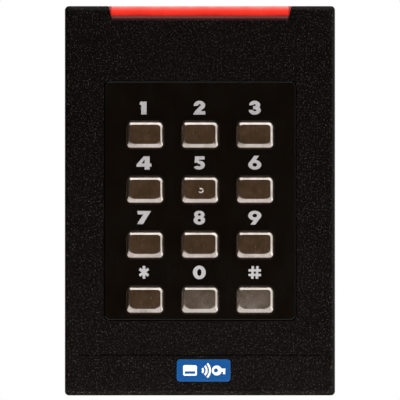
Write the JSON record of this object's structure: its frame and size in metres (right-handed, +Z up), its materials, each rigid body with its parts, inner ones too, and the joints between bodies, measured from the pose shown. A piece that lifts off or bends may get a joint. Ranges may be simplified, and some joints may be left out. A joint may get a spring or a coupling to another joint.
{
  "type": "keypad access reader",
  "caption": "Wall-mounted access reader: textured black housing, lit bar along its top edge, smooth panel of sprung metal keys, hook-on steel wall plate.",
  "frame": {"origin": "middle of the wall face, on the back of the steel wall plate", "axes": "+Y into the wall, so the keys face -Y; +Z up, along the long side; +X to the right as seen from the front"},
  "size_m": [0.084, 0.0282, 0.121],
  "materials": {
    "housing_plastic": "fine spark-eroded texture, moulded black polycarbonate",
    "light_bar_lens": "smooth translucent polycarbonate, lit red",
    "bezel_plastic": "smooth satin black",
    "badge_enamel": "domed blue resin over a printed symbol",
    "key_metal": "satin nickel plate over die-cast zinc",
    "keymat_silicone": "matt silicone",
    "pill_carbon": "matt carbon-loaded silicone",
    "seal_rubber": "matt closed-cell rubber",
    "coil_copper": "enamelled copper wire",
    "board_laminate": "green solder mask",
    "led_resin": "clear resin over a white reflector",
    "standoff_brass": "bright turned brass",
    "chip_resin": "moulded black resin",
    "capacitor_resin": "moulded ochre resin",
    "terminal_plastic": "moulded green polyamide",
    "cover_plastic": "light moulded grain",
    "window_glass": "smoked clear polycarbonate",
    "plate_steel": "zinc-plated sheet steel",
    "screw_steel": "zinc-plated steel"
  },
  "bodies": {
    "reader": {"front_housing": "housing_plastic", "light_bar": "light_bar_lens", "keypad_bezel": "bezel_plastic", "bezel_seal": "seal_rubber", "badge": "badge_enamel", "keymat": "keymat_silicone", "antenna_coil": "coil_copper", "keypad_board": "board_laminate", "status_leds": "led_resin", "standoffs": "standoff_brass", "board_connector": "chip_resin", "main_board": "board_laminate", "microcontroller": "chip_resin", "reader_chip": "chip_resin", "crystal": "screw_steel", "sounder": "chip_resin", "tamper_sensor": "chip_resin", "capacitors": "capacitor_resin", "voltage_regulator": "chip_resin", "board_screws": "screw_steel", "terminal_block": "terminal_plastic", "terminal_screws": "screw_steel", "terminal_seal": "seal_rubber", "rear_cover": "cover_plastic", "cover_gasket": "seal_rubber", "sensor_window": "window_glass", "cover_screws": "screw_steel", "mounting_plate": "plate_steel", "security_screw": "screw_steel"},
    "button_1": {"key_1": "key_metal", "contact_pill_1": "pill_carbon"},
    "button_2": {"key_2": "key_metal", "contact_pill_2": "pill_carbon"},
    "button_3": {"key_3": "key_metal", "contact_pill_3": "pill_carbon"},
    "button_4": {"key_4": "key_metal", "contact_pill_4": "pill_carbon"},
    "button_5": {"key_5": "key_metal", "contact_pill_5": "pill_carbon"},
    "button_6": {"key_6": "key_metal", "contact_pill_6": "pill_carbon"},
    "button_7": {"key_7": "key_metal", "contact_pill_7": "pill_carbon"},
    "button_8": {"key_8": "key_metal", "contact_pill_8": "pill_carbon"},
    "button_9": {"key_9": "key_metal", "contact_pill_9": "pill_carbon"},
    "button_star": {"key_star": "key_metal", "contact_pill_star": "pill_carbon"},
    "button_0": {"key_0": "key_metal", "contact_pill_0": "pill_carbon"},
    "button_hash": {"key_hash": "key_metal", "contact_pill_hash": "pill_carbon"}
  },
  "joints": [
    {"name": "press_1", "type": "slide", "parent": "reader", "child": "button_1", "axis": [0, 1, 0], "range_m": [0, 0.001], "stiffness_N_per_m": 1000, "springref_m": -0.0006, "deforming": ["keymat"]},
    {"name": "press_2", "type": "slide", "parent": "reader", "child": "button_2", "axis": [0, 1, 0], "range_m": [0, 0.001], "stiffness_N_per_m": 1000, "springref_m": -0.0006, "deforming": ["keymat"]},
    {"name": "press_3", "type": "slide", "parent": "reader", "child": "button_3", "axis": [0, 1, 0], "range_m": [0, 0.001], "stiffness_N_per_m": 1000, "springref_m": -0.0006, "deforming": ["keymat"]},
    {"name": "press_4", "type": "slide", "parent": "reader", "child": "button_4", "axis": [0, 1, 0], "range_m": [0, 0.001], "stiffness_N_per_m": 1000, "springref_m": -0.0006, "deforming": ["keymat"]},
    {"name": "press_5", "type": "slide", "parent": "reader", "child": "button_5", "axis": [0, 1, 0], "range_m": [0, 0.001], "stiffness_N_per_m": 1000, "springref_m": -0.0006, "deforming": ["keymat"]},
    {"name": "press_6", "type": "slide", "parent": "reader", "child": "button_6", "axis": [0, 1, 0], "range_m": [0, 0.001], "stiffness_N_per_m": 1000, "springref_m": -0.0006, "deforming": ["keymat"]},
    {"name": "press_7", "type": "slide", "parent": "reader", "child": "button_7", "axis": [0, 1, 0], "range_m": [0, 0.001], "stiffness_N_per_m": 1000, "springref_m": -0.0006, "deforming": ["keymat"]},
    {"name": "press_8", "type": "slide", "parent": "reader", "child": "button_8", "axis": [0, 1, 0], "range_m": [0, 0.001], "stiffness_N_per_m": 1000, "springref_m": -0.0006, "deforming": ["keymat"]},
    {"name": "press_9", "type": "slide", "parent": "reader", "child": "button_9", "axis": [0, 1, 0], "range_m": [0, 0.001], "stiffness_N_per_m": 1000, "springref_m": -0.0006, "deforming": ["keymat"]},
    {"name": "press_star", "type": "slide", "parent": "reader", "child": "button_star", "axis": [0, 1, 0], "range_m": [0, 0.001], "stiffness_N_per_m": 1000, "springref_m": -0.0006, "deforming": ["keymat"]},
    {"name": "press_0", "type": "slide", "parent": "reader", "child": "button_0", "axis": [0, 1, 0], "range_m": [0, 0.001], "stiffness_N_per_m": 1000, "springref_m": -0.0006, "deforming": ["keymat"]},
    {"name": "press_hash", "type": "slide", "parent": "reader", "child": "button_hash", "axis": [0, 1, 0], "range_m": [0, 0.001], "stiffness_N_per_m": 1000, "springref_m": -0.0006, "deforming": ["keymat"]}
  ]
}
